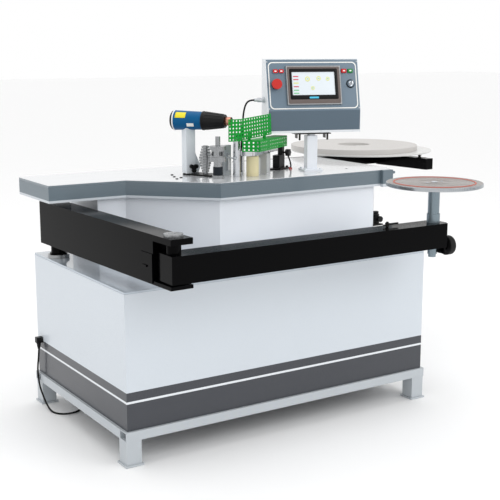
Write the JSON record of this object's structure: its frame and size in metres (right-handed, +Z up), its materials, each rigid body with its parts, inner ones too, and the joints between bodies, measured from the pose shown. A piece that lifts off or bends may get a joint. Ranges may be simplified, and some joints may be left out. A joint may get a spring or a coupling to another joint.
{
  "type": "edge banding machine",
  "caption": "Curve edge bander: base cabinet, shaped work table, glue and feed rollers, heat gun, control box, jointed swing arm with support disc, tape reel.",
  "frame": {"origin": "on the floor under the middle of the whole machine, without its power cord", "axes": "+X to the reel side, -Y to the operator and the swing arm, +Z up"},
  "size_m": [2.028, 1.5434, 1.34],
  "materials": {
    "base_frame": "gloss paint",
    "cabinet_panels": "gloss paint",
    "cabinet_lid": "gloss paint",
    "upper_cabinet": "gloss paint",
    "table_plate": "gloss paint",
    "table_apron": "gloss paint",
    "rear_door": "gloss paint",
    "door_latch": "polished",
    "arm_pivot_flange": "polished",
    "arm_1_beam": "gloss paint",
    "elbow_pin": "polished",
    "arm_2_beam": "gloss paint",
    "disc_post": "brushed",
    "hand_roller": "matte",
    "lock_lever": "brushed",
    "support_disc": "machined",
    "control_post": "gloss paint",
    "swivel_plate": "gloss paint",
    "control_shell": "gloss paint",
    "control_face": "gloss paint",
    "touch_panel": "matte",
    "estop_button": "glossy",
    "switch_key": "polished",
    "button_stop": "glossy",
    "button_start": "glossy",
    "cable_gland": "polished",
    "control_cable": "matte",
    "gun_base": "gloss paint",
    "gun_post": "gloss paint",
    "gun_body": "glossy",
    "gun_nozzle": "matte",
    "gun_knob": "matte",
    "press_tower": "machined",
    "finned_cone": "machined",
    "press_roller": "matte",
    "glue_roller": "polished",
    "feed_roller": "gloss paint",
    "gear_motor": "gloss paint",
    "motor_sprocket": "brushed",
    "drive_chain": "brushed",
    "head_plate": "machined",
    "cutter_block": "machined",
    "edge_bracket": "gloss paint",
    "star_knob": "matte",
    "guide_block": "gloss paint",
    "guide_rollers": "brushed",
    "guard": "gloss paint",
    "head_hose": "matte",
    "reel_beam": "gloss paint",
    "reel_tray": "gloss paint",
    "tape_coil": "glossy",
    "guide_arm": "gloss paint",
    "tape_guide": "matte",
    "electric_panel": "gloss paint",
    "air_regulator": "matte",
    "regulator_knob": "matte",
    "cord_gland": "matte",
    "power_cord": "matte",
    "cord_coil": "matte",
    "power_plug": "matte"
  },
  "bodies": {
    "machine": {"base_frame": "base_frame", "cabinet_panels": "cabinet_panels", "cabinet_lid": "cabinet_lid", "upper_cabinet": "upper_cabinet", "table_plate": "table_plate", "table_apron": "table_apron", "arm_pivot_flange": "arm_pivot_flange", "control_post": "control_post", "press_tower": "press_tower", "finned_cone": "finned_cone", "head_plate": "head_plate", "cutter_block": "cutter_block", "edge_bracket": "edge_bracket", "head_hose": "head_hose", "guard": "guard", "guide_block": "guide_block", "reel_beam": "reel_beam", "gear_motor": "gear_motor", "electric_panel": "electric_panel", "air_regulator": "air_regulator", "cord_gland": "cord_gland", "control_cable": "control_cable", "power_cord": "power_cord", "cord_coil": "cord_coil", "power_plug": "power_plug", "drive_chain": "drive_chain", "gun_base": "gun_base"},
    "door": {"rear_door": "rear_door"},
    "latch": {"door_latch": "door_latch"},
    "arm_1": {"arm_1_beam": "arm_1_beam", "elbow_pin": "elbow_pin"},
    "arm_2": {"arm_2_beam": "arm_2_beam", "disc_post": "disc_post"},
    "lever": {"lock_lever": "lock_lever"},
    "disc": {"support_disc": "support_disc"},
    "roller": {"hand_roller": "hand_roller"},
    "control_box": {"swivel_plate": "swivel_plate", "control_shell": "control_shell", "control_face": "control_face", "touch_panel": "touch_panel", "cable_gland": "cable_gland"},
    "estop": {"estop_button": "estop_button"},
    "key": {"switch_key": "switch_key"},
    "stop": {"button_stop": "button_stop"},
    "start": {"button_start": "button_start"},
    "heat_gun": {"gun_post": "gun_post", "gun_body": "gun_body", "gun_nozzle": "gun_nozzle"},
    "clamp_knob": {"gun_knob": "gun_knob"},
    "pressure_roller": {"press_roller": "press_roller"},
    "band_rollers": {"guide_rollers": "guide_rollers"},
    "glue_shaft": {"glue_roller": "glue_roller"},
    "feed_shaft": {"feed_roller": "feed_roller"},
    "motor_shaft": {"motor_sprocket": "motor_sprocket"},
    "setting_knob": {"star_knob": "star_knob"},
    "reel": {"reel_tray": "reel_tray", "tape_coil": "tape_coil"},
    "tape_arm": {"guide_arm": "guide_arm"},
    "tape_roller": {"tape_guide": "tape_guide"},
    "regulator": {"regulator_knob": "regulator_knob"}
  },
  "joints": [
    {"name": "door_hinge", "type": "hinge", "parent": "machine", "child": "door", "pos_m": [-0.61, 0.40071, 0.365], "axis": [0, 0, 1], "range_deg": [0, 110]},
    {"name": "latch_turn", "type": "hinge", "parent": "door", "child": "latch", "pos_m": [-0.048, 0.39871, 0.365], "axis": [0, 1, 0], "range_deg": [0, 90]},
    {"name": "arm_1_swing", "type": "hinge", "parent": "machine", "child": "arm_1", "pos_m": [-0.919, 0.25971, 0.7], "axis": [0, 0, 1], "range_deg": [-100, 0]},
    {"name": "arm_2_swing", "type": "hinge", "parent": "arm_1", "child": "arm_2", "pos_m": [-0.887, -0.59669, 0.712], "axis": [0, 0, 1], "range_deg": [-150, 10]},
    {"name": "lever_turn", "type": "hinge", "parent": "arm_2", "child": "lever", "pos_m": [-0.019, -0.58669, 0.766], "axis": [0, 0, 1], "range_deg": [-60, 60]},
    {"name": "disc_spin", "type": "hinge", "parent": "arm_2", "child": "disc", "pos_m": [0.191, -0.59669, 0.898], "axis": [0, 0, 1], "continuous": true},
    {"name": "roller_spin", "type": "hinge", "parent": "arm_2", "child": "roller", "pos_m": [0.265, -0.59669, 0.664], "axis": [1, 0, 0], "continuous": true},
    {"name": "box_swivel", "type": "hinge", "parent": "machine", "child": "control_box", "pos_m": [0.051, -0.02529, 1.05], "axis": [0, 0, 1], "range_deg": [-60, 0]},
    {"name": "estop_push", "type": "slide", "parent": "control_box", "child": "estop", "axis": [0.2849, 0.9318, -0.225], "range_m": [0, 0.004], "stiffness_N_per_m": 400},
    {"name": "key_turn", "type": "hinge", "parent": "control_box", "child": "key", "pos_m": [0.19233, -0.09318, 1.24233], "axis": [-0.2849, -0.9318, 0.225], "range_deg": [-90, 0]},
    {"name": "stop_push", "type": "slide", "parent": "control_box", "child": "stop", "axis": [0.2849, 0.9318, -0.225], "range_m": [0, 0.003], "stiffness_N_per_m": 300},
    {"name": "start_push", "type": "slide", "parent": "control_box", "child": "start", "axis": [0.2849, 0.9318, -0.225], "range_m": [0, 0.003], "stiffness_N_per_m": 300},
    {"name": "gun_swing", "type": "hinge", "parent": "machine", "child": "heat_gun", "pos_m": [-0.429, 0.11671, 1], "axis": [0, 0, 1], "range_deg": [-30, 120]},
    {"name": "clamp_turn", "type": "hinge", "parent": "heat_gun", "child": "clamp_knob", "pos_m": [-0.421, 0.09671, 0.928], "axis": [0, 1, 0], "range_deg": [-180, 180]},
    {"name": "pressure_spin", "type": "hinge", "parent": "machine", "child": "pressure_roller", "pos_m": [-0.395, -0.04629, 0.928], "axis": [0, 0, 1], "continuous": true},
    {"name": "band_rollers_spin", "type": "hinge", "parent": "machine", "child": "band_rollers", "pos_m": [-0.313, 0.00671, 0.95], "axis": [0, 0, 1], "continuous": true},
    {"name": "feed_spin", "type": "hinge", "parent": "machine", "child": "feed_shaft", "pos_m": [-0.243, -0.05129, 0.94], "axis": [0, 0, 1], "continuous": true},
    {"name": "glue_spin", "type": "hinge", "parent": "machine", "child": "glue_shaft", "pos_m": [-0.309, -0.04229, 0.94], "axis": [0, 0, 1], "continuous": true},
    {"name": "motor_spin", "type": "hinge", "parent": "machine", "child": "motor_shaft", "pos_m": [-0.204, 0.06871, 0.8], "axis": [0, 0, 1], "continuous": true},
    {"name": "setting_turn", "type": "hinge", "parent": "machine", "child": "setting_knob", "pos_m": [0.00007, 0.06963, 0.966], "axis": [-0.5299, 0.848, 0], "range_deg": [-180, 180]},
    {"name": "reel_spin", "type": "hinge", "parent": "machine", "child": "reel", "pos_m": [0.686, 0.44371, 0.911], "axis": [0, 0, 1], "continuous": true},
    {"name": "tape_arm_swing", "type": "hinge", "parent": "machine", "child": "tape_arm", "pos_m": [0.758, 0.44371, 0.868], "axis": [0, 0, 1], "range_deg": [-35, 80]},
    {"name": "tape_roller_spin", "type": "hinge", "parent": "tape_arm", "child": "tape_roller", "pos_m": [0.79371, 0.15289, 0.898], "axis": [0, 0, 1], "continuous": true},
    {"name": "regulator_turn", "type": "hinge", "parent": "machine", "child": "regulator", "pos_m": [0.312, -0.12629, 0.716], "axis": [0, 0, 1], "range_deg": [-150, 150]}
  ],
  "couplings": [
    {"joint": "glue_spin", "follows": "feed_spin", "ratio": -1},
    {"joint": "motor_spin", "follows": "feed_spin", "ratio": -1}
  ]
}
